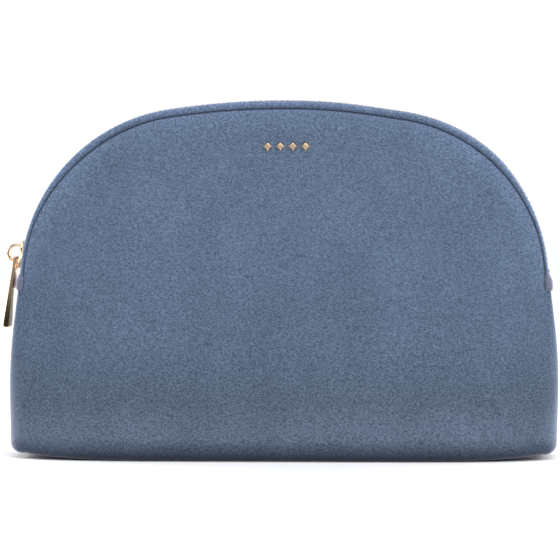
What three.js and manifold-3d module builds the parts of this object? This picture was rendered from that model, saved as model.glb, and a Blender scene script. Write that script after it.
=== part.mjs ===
// A half-moon zip pouch for cosmetics, standing on its base. Millimetres, +Z up, +X to the right,
// -Y towards the front. The origin is on the floor under the middle of the base.
// The front and back walls are three layers each: velvet, foam and lining. A metal zip runs over the
// arch between them. Each wall is cut at the height where it folds when the zip is open: below the
// fold it belongs to the tub, above it to a flap that leans out.
import * as THREE from "three";
import { mergeVertices } from "three/addons/utils/BufferGeometryUtils.js";
import Module from "manifold-3d";

const wasm = await Module();
wasm.setup();

const DEG = Math.PI / 180;
const GAP = 0.3; // clearance between pieces that touch on the real pouch

// Outline seen from the front: tangent arcs from the top of the arch down to the base.
const HEIGHT = 159.9; // floor to the top of the rolled edge; the zip teeth stand a little higher
const CROWN_RADIUS = 344;
const CROWN_HALF_SWEEP = 8.7 * DEG;
const SHOULDER_RADIUS = 78.4;
const SHOULDER_END = 82.9 * DEG; // heading where the shoulder turns into the straight side
const SIDE_LENGTH = 28; // straight side below the shoulder
const HIP_RADIUS = 210;
const HIP_END = 91.6 * DEG;
const CORNER_RADIUS = 7;

// Depth, measured from the middle plane to one wall's outer face.
const BAND_HALF = 6; // half the band that holds the zip, between the two rolled edges
const ROLL_RADIUS = 1.5; // rolled edge of the velvet along the arch
const BASE_DEPTH = 37; // half the depth of the base, with its rounded edge
const BASE_ROLL = 9; // radius of the rounded edge under the wall
const CORNER_BAND = 11; // half the flat band at the bottom corners
const CORNER_ROLL = 15; // rounding of the wall round the bottom corners
const WALL_BULGE = 2.5; // how far the middle of the wall stands out of the straight line
const RISE = 58; // distance from the edge over which the wall reaches its full depth
const SPINE_HEIGHT = 66; // a level line in the wall that the ribs of the surface run to
const SPINE_SHARE = 0.42;
const SEAM_Y = 2; // the side and bottom seam lies just behind the middle plane

// Wall layers, from the outside in.
const VELVET = 0.9;
const FOAM = 1.6;
const LINING = 0.4;
const FOAM_MARGIN = 10; // the foam is trimmed back from the arch by its seam allowance
const LINING_MARGIN = 8;

// Zip. Heights of the chain are measured inward from the outline, so outward is negative.
const END_TAB_LENGTH = 8;
const END_TAB_PROUD = 1.4;
const END_TAB_CLOTH = 0.6; // thickness where it wraps over the rolled edges
const END_TAB_LAP = 2; // how far down the front and back it reaches
const TOOTH_PITCH = 2.4;
const TOOTH_SHARE = 0.5; // part of the pitch that a tooth takes
const CHAIN_TOP = -0.5;
const CHAIN_BOTTOM = 1.9;
const TOOTH_TIP = 0.4; // teeth stop this far from the middle plane
const CORE_INNER = 1.5; // corded edge that the teeth are clamped on
const CORE_OUTER = 3;
const TAPE_TOP = 0.4;
const TAPE_BOTTOM = 1;
const TAPE_OUTER = 5.5; // where the tape turns down inside the wall
const TAPE_TAIL = 8.3; // how far it runs down
const TAPE_SLACK = 0.6; // between the tape and the back of the velvet
const STOP_LENGTH = 1.6;

// Slider and pull.
const SLIDER_HEADING = 81.1 * DEG; // where it is parked on the left shoulder
const SLIDER_LENGTH = 12;
const SLIDER_HALF_NARROW = 4.2;
const SLIDER_HALF_WIDE = 4.9;
const SLIDER_PLATE = 1;
const FLANGE_DEPTH = 0.85;
const POST_HALF = 0.15;
const BAIL_WIDTH = 2.2;
const BAIL_BAR = 1.3;
const BAIL_RADIUS = 3.3; // inside of the round arch
const BAIL_LEG = 1.4; // from the plate to the middle of the arch
const PIVOT_ANGLE = 175 * DEG; // where the pull's bar lies in the arch, from the crown side round
const PULL_LENGTH = 31.5; // below the pivot
const PULL_BAR_HALF = 0.7;
const PULL_SLOT_END = 4.9;
const PULL_SLOT_HALF = 1.7;
const PULL_TOP_HALF = 3;
const PULL_END_HALF = 3.8;
const PULL_TOP_THICKNESS = 1.5;
const PULL_END_THICKNESS = 3;
const PULL_LEAN = 7.2 * DEG;
const PULL_YAW = 6 * DEG;

// Badge: plain lozenge studs in a row on the front.
const STUD_COUNT = 4;
const STUD_PITCH = 5.65;
const STUD_RADIUS = 2.4; // middle to corner
const STUD_HEIGHT = 1.1;
const STUD_SUNK = 0.25; // how far a stud is pressed into the nap
const STUD_POST_RADIUS = 0.6;
const BADGE_X = 1.5;
const BADGE_DROP = 20.4; // from the top of the arch down to the middle of the studs
const BACKING = [27, 6, 0.5];

// Fold between tub and flaps.
const SPLIT_DROP = 59.9; // from the top of the arch down to the fold
const SPLIT_GAP = 0.5;

const COLOURS = {
  velvet: { color: 0x64769a, roughness: 0.95, metalness: 0 },
  foam: { color: 0xe6e2d6, roughness: 1, metalness: 0 },
  lining: { color: 0x44506c, roughness: 0.6, metalness: 0 },
  tape: { color: 0x6b7490, roughness: 0.9, metalness: 0 },
  brass: { color: 0xb89a6a, roughness: 0.3, metalness: 1 },
  gold: { color: 0xe9cfa0, roughness: 0.15, metalness: 1 },
};

// ---- Outline -------------------------------------------------------------------------------

// Segments of the right half, walked clockwise from the top: an arc turns, a line runs straight.
function walkOutline() {
  const segments = [];
  let x = 0;
  let z = HEIGHT;
  let heading = 0;
  let start = 0;
  const arc = (radius, end) => {
    const sweep = end - heading;
    const cx = x - radius * Math.sin(heading);
    const cz = z - radius * Math.cos(heading);
    segments.push({ start, length: radius * sweep, heading, radius, cx, cz });
    start += radius * sweep;
    heading = end;
    x = cx + radius * Math.sin(heading);
    z = cz + radius * Math.cos(heading);
  };
  const line = (length) => {
    segments.push({ start, length, heading, x, z });
    start += length;
    x += length * Math.cos(heading);
    z -= length * Math.sin(heading);
  };
  arc(CROWN_RADIUS, CROWN_HALF_SWEEP);
  arc(SHOULDER_RADIUS, SHOULDER_END);
  line(SIDE_LENGTH);
  arc(HIP_RADIUS, HIP_END);
  const cornerDrop = CORNER_RADIUS * (1 + Math.cos(HIP_END));
  line((z - cornerDrop) / Math.sin(HIP_END));
  arc(CORNER_RADIUS, Math.PI);
  line(x);
  return segments;
}

const SEGMENTS = walkOutline();
const HALF_LENGTH = SEGMENTS.reduce((sum, segment) => sum + segment.length, 0);

// A point of the outline at distance s from the top, positive to the right, with its heading.
function outlineAt(s) {
  const distance = Math.min(Math.abs(s), HALF_LENGTH);
  const segment = SEGMENTS.findLast((item) => item.start <= distance);
  const along = distance - segment.start;
  const side = s < 0 ? -1 : 1;
  let { x, z, heading } = segment;
  if (segment.radius) {
    heading += along / segment.radius;
    x = segment.cx + segment.radius * Math.sin(heading);
    z = segment.cz + segment.radius * Math.cos(heading);
  } else {
    x += along * Math.cos(heading);
    z -= along * Math.sin(heading);
  }
  return { x: side * x, z, heading: side * heading, nx: side * Math.sin(heading), nz: Math.cos(heading) };
}

// Distance along the outline at which it comes down to a height, on the side below the shoulder.
function distanceAtHeight(height) {
  let low = 0;
  let high = HALF_LENGTH - SEGMENTS.at(-1).length;
  for (let i = 0; i < 50; i++) {
    const middle = (low + high) / 2;
    if (outlineAt(middle).z > height) low = middle;
    else high = middle;
  }
  return low;
}

// The parked slider touches the stops, and the end tab and the top of the side seam come after them.
const SLIDER_S = -(SEGMENTS[1].start + SHOULDER_RADIUS * (SLIDER_HEADING - CROWN_HALF_SWEEP));
const ZIP_HALF = -SLIDER_S + SLIDER_LENGTH / 2 + GAP + STOP_LENGTH;
const ZIP_END_HEIGHT = outlineAt(ZIP_HALF + 2 * GAP + END_TAB_LENGTH).z;
const SPLIT_HEIGHT = HEIGHT - SPLIT_DROP;
const BADGE_HEIGHT = HEIGHT - BADGE_DROP;
const SPLIT_S = distanceAtHeight(SPLIT_HEIGHT);

// ---- Shape of the walls --------------------------------------------------------------------

const smooth = (t) => t * t * (3 - 2 * t);
const clamp01 = (t) => Math.min(1, Math.max(0, t));
const mix = (a, b, t) => a + (b - a) * t;

// Half width of the flat band round the edge, and the rounding from it to the wall.
function edgeAt(point) {
  const down = smooth(clamp01((ZIP_END_HEIGHT + END_TAB_LENGTH - point.z) / ZIP_END_HEIGHT));
  const sideBand = mix(BAND_HALF, CORNER_BAND, down);
  const sideRoll = mix(ROLL_RADIUS, CORNER_ROLL, down);
  const underneath = clamp01((Math.abs(point.heading) / DEG - 95) / 80);
  const across = clamp01(Math.abs(point.x) / SEGMENTS.at(-1).x);
  const baseBand = mix(BASE_DEPTH - BASE_ROLL, CORNER_BAND, across ** 5);
  return {
    band: mix(sideBand, baseBand, underneath),
    roll: mix(sideRoll, BASE_ROLL, underneath),
  };
}

// Depth of the wall's outer face along the middle of the pouch.
function wallDepth(z) {
  const up = clamp01(z / HEIGHT);
  return mix(BASE_DEPTH, BAND_HALF + ROLL_RADIUS, up) + WALL_BULGE * Math.sin(Math.PI * up);
}

const EDGE_STEPS = [0, 0.29, 1]; // share of the rounding's width
const FACE_STEPS = [0.12, 0.34, 0.68]; // share of the way from the rounding to the spine

// Points from the edge to the spine at distance s, on the surface that lies inset inside the outside.
function rib(s, inset) {
  const point = outlineAt(s);
  const edge = edgeAt(point);
  const roll = Math.max(edge.roll - inset, 0.2);
  const band = Math.min(edge.band, edge.band + edge.roll - inset - 0.2);
  const full = edge.band + edge.roll;
  const x1 = SPINE_SHARE * point.x;
  const reach = Math.hypot(x1 - point.x, SPINE_HEIGHT - point.z);
  const points = EDGE_STEPS.map((share) => {
    const along = (share * roll) / reach;
    const depth = band + roll * Math.sqrt(1 - (1 - share) ** 2);
    const [x, z] = [point.x - inset * point.nx, point.z - inset * point.nz];
    return [x + along * (x1 - point.x), z + along * (SPINE_HEIGHT - point.z), depth];
  });
  const [x0, z0] = points.at(-1);
  const run = Math.hypot(x1 - x0, SPINE_HEIGHT - z0);
  for (const share of FACE_STEPS) {
    const z = mix(z0, SPINE_HEIGHT, share);
    const v = clamp01((share * run) / RISE);
    points.push([mix(x0, x1, share), z, mix(full, wallDepth(z), v * (2 - v)) - inset]);
  }
  return points;
}

// Distances at which the outline is sampled, from the left end of the base round to the right end.
function sampleOutline(steps) {
  const right = SEGMENTS.flatMap((segment, i) =>
    Array.from({ length: steps[i] }, (_, k) => segment.start + (segment.length * (k + 1)) / steps[i]),
  );
  return [...right.map((s) => -s).reverse().slice(1), 0, ...right];
}

const SAMPLES = sampleOutline([3, 6, 2, 2, 1, 3, 3]);

// ---- Solids --------------------------------------------------------------------------------

function solidFromGeometry(geometry) {
  const plain = new THREE.BufferGeometry().setAttribute("position", geometry.getAttribute("position"));
  if (geometry.index) plain.setIndex(geometry.index);
  const merged = mergeVertices(plain, 1e-4);
  return new wasm.Manifold(
    new wasm.Mesh({
      numProp: 3,
      vertProperties: new Float32Array(merged.attributes.position.array),
      triVerts: new Uint32Array(merged.index.array),
    }),
  );
}

// A solid from lists of corners and triangles; the triangles are turned to face outward.
function solidFromLists(vertices, faces) {
  let volume = 0;
  for (const [a, b, c] of faces) {
    const [p, q, r] = [vertices[a], vertices[b], vertices[c]];
    volume += p[0] * (q[1] * r[2] - q[2] * r[1]) + p[1] * (q[2] * r[0] - q[0] * r[2]) + p[2] * (q[0] * r[1] - q[1] * r[0]);
  }
  if (volume < 0) for (const face of faces) face.reverse();
  const geometry = new THREE.BufferGeometry();
  geometry.setAttribute("position", new THREE.Float32BufferAttribute(vertices.flat(), 3));
  geometry.setIndex(faces.flat());
  return solidFromGeometry(geometry);
}

function geometryFromSolid(solid) {
  const mesh = solid.getMesh();
  const positions = new Float32Array(mesh.numVert * 3);
  for (let i = 0; i < mesh.numVert; i++) {
    positions.set(mesh.vertProperties.subarray(i * mesh.numProp, i * mesh.numProp + 3), i * 3);
  }
  const geometry = new THREE.BufferGeometry();
  geometry.setAttribute("position", new THREE.BufferAttribute(positions, 3));
  geometry.setIndex(new THREE.BufferAttribute(mesh.triVerts, 1));
  geometry.computeVertexNormals();
  return geometry;
}

// A box from its lowest to its highest corner.
function box(low, high) {
  const size = high.map((value, i) => value - low[i]);
  const geometry = new THREE.BoxGeometry(...size);
  geometry.translate(...low.map((value, i) => value + size[i] / 2));
  return solidFromGeometry(geometry);
}

// A flat shape of [a, b] corners, pushed along the third axis from "from" to "to".
function prism(corners, from, to, axis = "y") {
  const shape = new THREE.Shape(corners.map(([a, b]) => new THREE.Vector2(a, b)));
  const geometry = new THREE.ExtrudeGeometry(shape, { depth: to - from, bevelEnabled: false });
  geometry.translate(0, 0, axis === "x" ? from : -to).rotateX(Math.PI / 2);
  if (axis === "x") geometry.rotateZ(Math.PI / 2);
  return solidFromGeometry(geometry);
}

const LARGE = 400;

// The closed pillow that lies a given distance inside the pouch's outer surface.
function pillow(inset) {
  const ribs = SAMPLES.map((s) => rib(s, inset));
  const rows = ribs[0].length;
  const count = ribs.length;
  const vertices = [];
  for (const side of [-1, 1]) {
    for (const points of ribs) for (const [x, z, depth] of points) vertices.push([x, side * depth, z]);
    vertices.push([0, side * (wallDepth(SPINE_HEIGHT) - inset), SPINE_HEIGHT]);
  }
  const faces = [];
  const back = count * rows + 1;
  for (let i = 0; i < count; i++) {
    const a = i * rows;
    const b = ((i + 1) % count) * rows;
    for (let k = 0; k < rows - 1; k++) {
      faces.push([a + k, a + k + 1, b + k], [b + k, a + k + 1, b + k + 1]);
      faces.push([back + a + k, back + b + k, back + a + k + 1]);
      faces.push([back + b + k, back + b + k + 1, back + a + k + 1]);
    }
    faces.push([a + rows - 1, back - 1, b + rows - 1]);
    faces.push([back + a + rows - 1, back + b + rows - 1, back + back - 1]);
    faces.push([a, b, back + a], [b, back + b, back + a]);
  }
  return solidFromLists(vertices, faces);
}

// Depth of the wall's outer face at a point of the front.
const OUTSIDE = pillow(0);
function faceDepthAt(x, z) {
  const needle = box([x - 0.05, -LARGE, z - 0.05], [x + 0.05, 0, z + 0.05]);
  return -OUTSIDE.intersect(needle).boundingBox().min[1];
}

// Everything inside the arch, a margin away from it, with open space below the zip's ends.
function insideArch(margin) {
  const reach = distanceAtHeight(ZIP_END_HEIGHT);
  const corners = [];
  for (const s of [-reach, ...SAMPLES.filter((value) => Math.abs(value) < reach), reach]) {
    const point = outlineAt(s);
    corners.push([point.x - margin * point.nx, point.z - margin * point.nz]);
  }
  const below = -LARGE;
  const left = corners[0][1];
  const right = corners.at(-1)[1];
  const frame = [[LARGE, right], [LARGE, below], [-LARGE, below], [-LARGE, left]];
  return prism([...corners, ...frame].reverse(), -LARGE, LARGE);
}

// One layer of the whole pouch, that begins a given distance inside the outer surface.
function layer(outer, thickness) {
  return pillow(outer).subtract(pillow(outer + thickness));
}

// The part of a layer in front of the seam (side -1) or behind it (side 1).
function half(solid, side) {
  const low = side < 0 ? -LARGE : SEAM_Y + GAP / 2;
  const high = side < 0 ? SEAM_Y - GAP / 2 : LARGE;
  return solid.intersect(box([-LARGE, low, -LARGE], [LARGE, high, LARGE]));
}

const belowFold = (solid) =>
  solid.intersect(box([-LARGE, -LARGE, -LARGE], [LARGE, LARGE, SPLIT_HEIGHT - SPLIT_GAP / 2]));
const aboveFold = (solid) =>
  solid.intersect(box([-LARGE, -LARGE, SPLIT_HEIGHT + SPLIT_GAP / 2], [LARGE, LARGE, LARGE]));

// ---- Swept pieces --------------------------------------------------------------------------

// A place at distance s along the outline, r inward from it and y from the middle plane.
function place(s, y, r) {
  const point = outlineAt(s);
  return [point.x - r * point.nx, y, point.z - r * point.nz];
}

// Places along the outline between two distances, close enough to follow its curve.
function stations(from, to, step) {
  const count = Math.max(1, Math.round((to - from) / step));
  return Array.from({ length: count + 1 }, (_, i) => mix(from, to, i / count));
}

// A closed bar along the outline. The profile gives [y, r] corners for a share of the way, 0 to 1.
function sweep(profileAt, places) {
  const vertices = [];
  const faces = [];
  places.forEach((s, i) => {
    for (const [y, r] of profileAt(i / (places.length - 1))) vertices.push(place(s, y, r));
  });
  const rim = profileAt(0);
  const n = rim.length;
  for (let i = 0; i < places.length - 1; i++) {
    for (let k = 0; k < n; k++) {
      const [a, b] = [i * n + k, i * n + ((k + 1) % n)];
      faces.push([a, b, a + n], [b, b + n, a + n]);
    }
  }
  const flat = rim.map(([y, r]) => new THREE.Vector2(y, r));
  const last = (places.length - 1) * n;
  for (const [a, b, c] of THREE.ShapeUtils.triangulateShape(flat, [])) {
    const turned = THREE.ShapeUtils.isClockWise(flat);
    faces.push(turned ? [a, b, c] : [a, c, b]);
    faces.push(turned ? [last + a, last + c, last + b] : [last + a, last + b, last + c]);
  }
  return solidFromLists(vertices, faces);
}

// Depth of the wall's outer face at distance s along the outline and r inward from it, near the edge.
function depthNearEdge(s, r) {
  const points = rib(s, 0);
  const [edge, face] = [points[EDGE_STEPS.length - 1], points[EDGE_STEPS.length]];
  const run = Math.hypot(face[0] - edge[0], face[1] - edge[1]);
  return mix(edge[2], face[2], (r - ROLL_RADIUS) / run);
}

// One side's zip tape: flat beside the teeth, then down inside the wall.
function tape(side, from, to) {
  const down = TAPE_BOTTOM + TAPE_TAIL;
  const thick = TAPE_BOTTOM - TAPE_TOP;
  const places = stations(from, to, 9);
  return sweep((t) => {
    const tail = depthNearEdge(mix(from, to, t), down) - VELVET - TAPE_SLACK;
    return [
      [CORE_OUTER + GAP, TAPE_TOP],
      [TAPE_OUTER, TAPE_TOP],
      [tail, down],
      [tail - thick, down],
      [TAPE_OUTER - thick, TAPE_BOTTOM],
      [CORE_OUTER + GAP, TAPE_BOTTOM],
    ].map(([y, r]) => [side * y, r]);
  }, places);
}

// One side's row of teeth on its corded edge, as a comb whose teeth point at the other side's gaps.
function chain(side, from, to) {
  const marks = [{ s: from }];
  const shift = side < 0 ? 0 : TOOTH_PITCH / 2;
  const first = Math.ceil((from + 0.2 - shift) / TOOTH_PITCH);
  for (let i = first; ; i++) {
    const start = i * TOOTH_PITCH + shift;
    const end = start + TOOTH_PITCH * TOOTH_SHARE;
    if (end > to - 0.2) break;
    marks.push({ s: start, tooth: true }, { s: end, tooth: false, tip: true });
  }
  marks.push({ s: to });
  const vertices = [];
  const faces = [];
  const corner = (s, y, r) => vertices.push(place(s, side * y, r)) - 1;
  const quad = (a, b, c, d) => faces.push([a, b, c], [a, c, d]);
  const rings = marks.map(({ s, tooth, tip }) => ({
    tooth,
    outer: [corner(s, CORE_OUTER, CHAIN_TOP), corner(s, CORE_OUTER, CHAIN_BOTTOM)],
    inner: [corner(s, CORE_INNER, CHAIN_TOP), corner(s, CORE_INNER, CHAIN_BOTTOM)],
    tip: tooth || tip ? [corner(s, TOOTH_TIP, CHAIN_TOP), corner(s, TOOTH_TIP, CHAIN_BOTTOM)] : null,
  }));
  for (let i = 0; i < rings.length - 1; i++) {
    const [a, b] = [rings[i], rings[i + 1]];
    quad(a.outer[0], b.outer[0], b.inner[0], a.inner[0]);
    quad(a.outer[1], a.inner[1], b.inner[1], b.outer[1]);
    quad(a.outer[1], b.outer[1], b.outer[0], a.outer[0]);
    if (!a.tooth) {
      quad(a.inner[0], b.inner[0], b.inner[1], a.inner[1]);
      continue;
    }
    quad(a.inner[0], b.inner[0], b.tip[0], a.tip[0]);
    quad(a.inner[1], a.tip[1], b.tip[1], b.inner[1]);
    quad(a.tip[0], b.tip[0], b.tip[1], a.tip[1]);
    quad(a.inner[0], a.tip[0], a.tip[1], a.inner[1]);
    quad(b.inner[0], b.inner[1], b.tip[1], b.tip[0]);
  }
  const [start, end] = [rings[0], rings.at(-1)];
  quad(start.outer[0], start.inner[0], start.inner[1], start.outer[1]);
  quad(end.outer[0], end.outer[1], end.inner[1], end.inner[0]);
  return solidFromLists(vertices, faces);
}

const rectangle = (y0, y1, r0, r1) => [[y0, r0], [y1, r0], [y1, r1], [y0, r1]];

// The metal stop that closes a side's row of teeth, or both rows at once.
function zipStop(y0, y1, from) {
  return sweep(() => rectangle(y0, y1, CHAIN_TOP, CHAIN_BOTTOM), [from, from + STOP_LENGTH]);
}

// The folded cloth that covers the end of the zip and wraps over both rolled edges.
function endTab(side) {
  const near = ZIP_HALF + GAP;
  const far = near + END_TAB_LENGTH;
  const [from, to] = side < 0 ? [-far, -near] : [near, far];
  const under = BAND_HALF - 2 * GAP;
  const section = (t) => {
    const s = mix(from, to, t);
    const { band, roll } = edgeAt(outlineAt(s));
    const inside = depthNearEdge(s, END_TAB_LAP) + 1.5 * GAP;
    const outside = inside + END_TAB_CLOTH;
    const right = [
      [outside - END_TAB_PROUD, -END_TAB_PROUD], [outside, -GAP], [outside, END_TAB_LAP], [inside, END_TAB_LAP],
      [band + roll + GAP + 0.05, Math.min(roll, END_TAB_LAP) - GAP],
      [band + 0.71 * roll + GAP, 0.29 * roll - GAP], [band, -GAP], [under, -GAP], [under, TAPE_TOP - GAP],
    ];
    return [...right, ...right.map(([y, r]) => [-y, r]).reverse()];
  };
  return sweep(section, [from, to]);
}

// ---- Slider and pull -----------------------------------------------------------------------

const PLATE_UNDER = CHAIN_TOP - GAP;
const PLATE_OUTSIDE = PLATE_UNDER - SLIDER_PLATE;
const PLATE_INSIDE = CHAIN_BOTTOM + GAP;

// Two plates round the teeth, with lips over the corded edges and a thin post between the rows.
function sliderBody() {
  const from = SLIDER_S - SLIDER_LENGTH / 2;
  const places = stations(from, from + SLIDER_LENGTH, 3);
  const width = (t) => mix(SLIDER_HALF_WIDE, SLIDER_HALF_NARROW, smooth(t));
  const bar = (y0, r0, r1) => (side) => sweep(
    (t) => rectangle(side * (y0 ?? -width(t)), side * width(t), r0, r1), places);
  const lip = CORE_OUTER + GAP;
  const pieces = [
    bar(null, PLATE_OUTSIDE, PLATE_UNDER)(1),
    bar(null, PLATE_INSIDE, PLATE_INSIDE + SLIDER_PLATE)(1),
    ...[-1, 1].map(bar(lip, PLATE_UNDER - 0.2, PLATE_UNDER + FLANGE_DEPTH)),
    ...[-1, 1].map(bar(lip, PLATE_INSIDE - FLANGE_DEPTH, PLATE_INSIDE + 0.2)),
    sweep(() => rectangle(-POST_HALF, POST_HALF, PLATE_UNDER - 0.2, PLATE_INSIDE + 0.2), places.slice(0, 2)),
  ];
  return wasm.Manifold.union(pieces);
}

// The slider's own frame: origin on the outline, x along the zip towards the crown, z outward.
function atSlider(solid) {
  const point = outlineAt(SLIDER_S);
  const frame = new THREE.Matrix4().makeBasis(
    new THREE.Vector3(point.nz, 0, -point.nx),
    new THREE.Vector3(0, 1, 0),
    new THREE.Vector3(point.nx, 0, point.nz),
  );
  frame.setPosition(point.x, 0, point.z);
  return solid.transform(frame.elements);
}

const ARCH_MIDDLE = -PLATE_OUTSIDE + BAIL_LEG; // height of the arch's middle above the outline
// The pull's bar lies inside the arch and can turn there without touching it.
const PIVOT_REACH = BAIL_RADIUS - Math.hypot(PULL_BAR_HALF, PULL_TOP_THICKNESS / 2) - 0.2;
const PIVOT = [PIVOT_REACH * Math.cos(PIVOT_ANGLE), ARCH_MIDDLE + PIVOT_REACH * Math.sin(PIVOT_ANGLE)];

// The arched bail over the slider, which the pull hangs from.
function sliderBail() {
  const foot = -PLATE_OUTSIDE + GAP;
  const arch = (radius) => [[radius, foot], ...arcRow(0, ARCH_MIDDLE, radius, 0, 180), [-radius, foot]];
  const outer = arch(BAIL_RADIUS + BAIL_BAR);
  const inner = arch(BAIL_RADIUS).reverse();
  return atSlider(prism([...outer, ...inner], -BAIL_WIDTH / 2, BAIL_WIDTH / 2));
}

// Points of an arc with a rising angle.
function arcRow(cx, cz, radius, from, to) {
  return Array.from({ length: 13 }, (_, i) => {
    const angle = mix(from, to, i / 12) * DEG;
    return [cx + radius * Math.cos(angle), cz + radius * Math.sin(angle)];
  });
}

function pivotPoint() {
  const point = outlineAt(SLIDER_S);
  return [
    point.x + PIVOT[0] * point.nz + PIVOT[1] * point.nx,
    point.z - PIVOT[0] * point.nx + PIVOT[1] * point.nz,
  ];
}

// A flat tapered bar. Its top bar lies in the bail, in a slot that lets the bail through.
function pullTab() {
  const top = PULL_BAR_HALF;
  const plan = prism(
    [[-PULL_TOP_HALF, top], [PULL_TOP_HALF, top], [PULL_END_HALF, -PULL_LENGTH], [-PULL_END_HALF, -PULL_LENGTH]],
    -LARGE, LARGE, "x");
  const slot = box([-9, -PULL_SLOT_HALF, -PULL_SLOT_END], [9, PULL_SLOT_HALF, -PULL_BAR_HALF]);
  const [a, b] = [PULL_TOP_THICKNESS / 2, PULL_END_THICKNESS / 2];
  const side = prism(
    [[-a, top], [a, top], [a, -PULL_SLOT_END], [b, 1 - PULL_LENGTH], [b - 0.5, -PULL_LENGTH],
      [0.5 - b, -PULL_LENGTH], [-b, 1 - PULL_LENGTH], [-a, -PULL_SLOT_END]],
    -LARGE, LARGE);
  const [x, z] = pivotPoint();
  const pull = plan.intersect(side).subtract(slot);
  return pull.rotate([0, 0, -PULL_YAW / DEG]).rotate([0, PULL_LEAN / DEG, 0]).translate([x, 0, z]);
}

// ---- Badge ---------------------------------------------------------------------------------

// A frame on the front wall at (x, z): its y points out of the wall, its origin lies on the face.
function onFront(x, z, sunk = 0) {
  const slope = (faceDepthAt(x, z + 1) - faceDepthAt(x, z - 1)) / 2;
  const out = new THREE.Vector3(0, -1, -slope).normalize();
  const across = new THREE.Vector3(1, 0, 0);
  const frame = new THREE.Matrix4().makeBasis(across, out, across.clone().cross(out));
  const origin = new THREE.Vector3(x, -faceDepthAt(x, z), z).addScaledVector(out, -sunk);
  return frame.setPosition(origin);
}

function stud(x, extra = 0) {
  const head = new THREE.CylinderGeometry(STUD_RADIUS * 0.55 + extra, STUD_RADIUS + extra, STUD_HEIGHT, 4);
  head.translate(0, STUD_HEIGHT / 2, 0);
  const length = VELVET - STUD_SUNK + 2 * extra;
  const post = new THREE.CylinderGeometry(STUD_POST_RADIUS + extra, STUD_POST_RADIUS + extra, length + 0.4, 10);
  post.translate(0, (0.4 - length) / 2, 0);
  const solid = solidFromGeometry(head).add(solidFromGeometry(post));
  const lift = extra ? -0.15 : 0;
  return solid.transform(onFront(x, BADGE_HEIGHT, STUD_SUNK - lift).elements);
}

function badgeBacking(extra = 0) {
  const size = BACKING.map((value) => value + 2 * extra);
  const geometry = new THREE.BoxGeometry(size[0], size[2], size[1]);
  const depth = VELVET + GAP + BACKING[2] / 2;
  return solidFromGeometry(geometry).transform(onFront(BADGE_X, BADGE_HEIGHT, depth).elements);
}

// ---- Assembly ------------------------------------------------------------------------------

const pouch = new THREE.Group();
pouch.name = "zippered_pouch";

function add(name, look, solid) {
  const mesh = new THREE.Mesh(geometryFromSolid(solid), new THREE.MeshStandardMaterial(COLOURS[look]));
  mesh.name = name;
  pouch.add(mesh);
}

const mouth = box([-LARGE, -BAND_HALF, ZIP_END_HEIGHT], [LARGE, BAND_HALF, LARGE]);
const layers = {
  velvet: layer(0, VELVET).subtract(mouth),
  foam: layer(VELVET + GAP, FOAM).intersect(insideArch(FOAM_MARGIN)),
  lining: layer(VELVET + FOAM + 2 * GAP, LINING).intersect(insideArch(LINING_MARGIN)),
};
const studPlaces = Array.from({ length: STUD_COUNT }, (_, i) => BADGE_X + (i - (STUD_COUNT - 1) / 2) * STUD_PITCH);
const frontCuts = {
  velvet: wasm.Manifold.union(studPlaces.map((x) => stud(x, GAP))),
  foam: wasm.Manifold.union([badgeBacking(GAP), ...studPlaces.map((x) => stud(x, GAP))]),
};

for (const [look, solid] of Object.entries(layers)) {
  for (const [wall, side] of [["front", -1], ["back", 1]]) {
    const piece = half(solid, side);
    const flap = aboveFold(piece);
    add(`${look}_${wall}_tub`, look, belowFold(piece));
    add(`${look}_${wall}_flap`, look, side < 0 && frontCuts[look] ? flap.subtract(frontCuts[look]) : flap);
  }
}

const foldGap = SPLIT_GAP / 2;
const chainEnd = ZIP_HALF - STOP_LENGTH - GAP;
const tapeEnd = distanceAtHeight(ZIP_END_HEIGHT + 2 * GAP);
for (const [wall, side] of [["front", -1], ["back", 1]]) {
  add(`tape_${wall}_left`, "tape", tape(side, -tapeEnd, -SPLIT_S - foldGap));
  add(`tape_${wall}_flap`, "tape", tape(side, -SPLIT_S + foldGap, SPLIT_S - foldGap));
  add(`tape_${wall}_right`, "tape", tape(side, SPLIT_S + foldGap, tapeEnd));
  add(`teeth_${wall}_left`, "brass", chain(side, -chainEnd, -SPLIT_S - foldGap));
  add(`teeth_${wall}_flap`, "brass", chain(side, -SPLIT_S + foldGap, SPLIT_S - foldGap));
  add(`teeth_${wall}_right`, "brass", chain(side, SPLIT_S + foldGap, chainEnd));
}
add("zip_stop_front", "brass", zipStop(-CORE_OUTER, -TOOTH_TIP, -ZIP_HALF));
add("zip_stop_back", "brass", zipStop(TOOTH_TIP, CORE_OUTER, -ZIP_HALF));
add("zip_stop_bottom", "brass", zipStop(-CORE_OUTER, CORE_OUTER, ZIP_HALF - STOP_LENGTH));
add("zip_end_tab_left", "velvet", endTab(-1));
add("zip_end_tab_right", "velvet", endTab(1));
add("slider_body", "gold", sliderBody());
add("slider_bail", "gold", sliderBail());
add("pull_tab", "gold", pullTab());
studPlaces.forEach((x, i) => add(`badge_stud_${i + 1}`, "gold", stud(x)));
add("badge_backing", "foam", badgeBacking());

export default pouch;
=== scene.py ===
# %% [markdown]
# # A half-moon velvet pouch
# The zip arches over the top, the walls are velvet backed with foam, and a gold pull hangs at the
# left end of the zip. The frame brings in the plain model with its bodies and joints. Each cell
# after it makes one piece of the real pouch, or one finish, and says why it is made that way.

# %% Load the frame
import math

import bpy
import numpy as np
from mathutils import Matrix, Vector, noise


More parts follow.
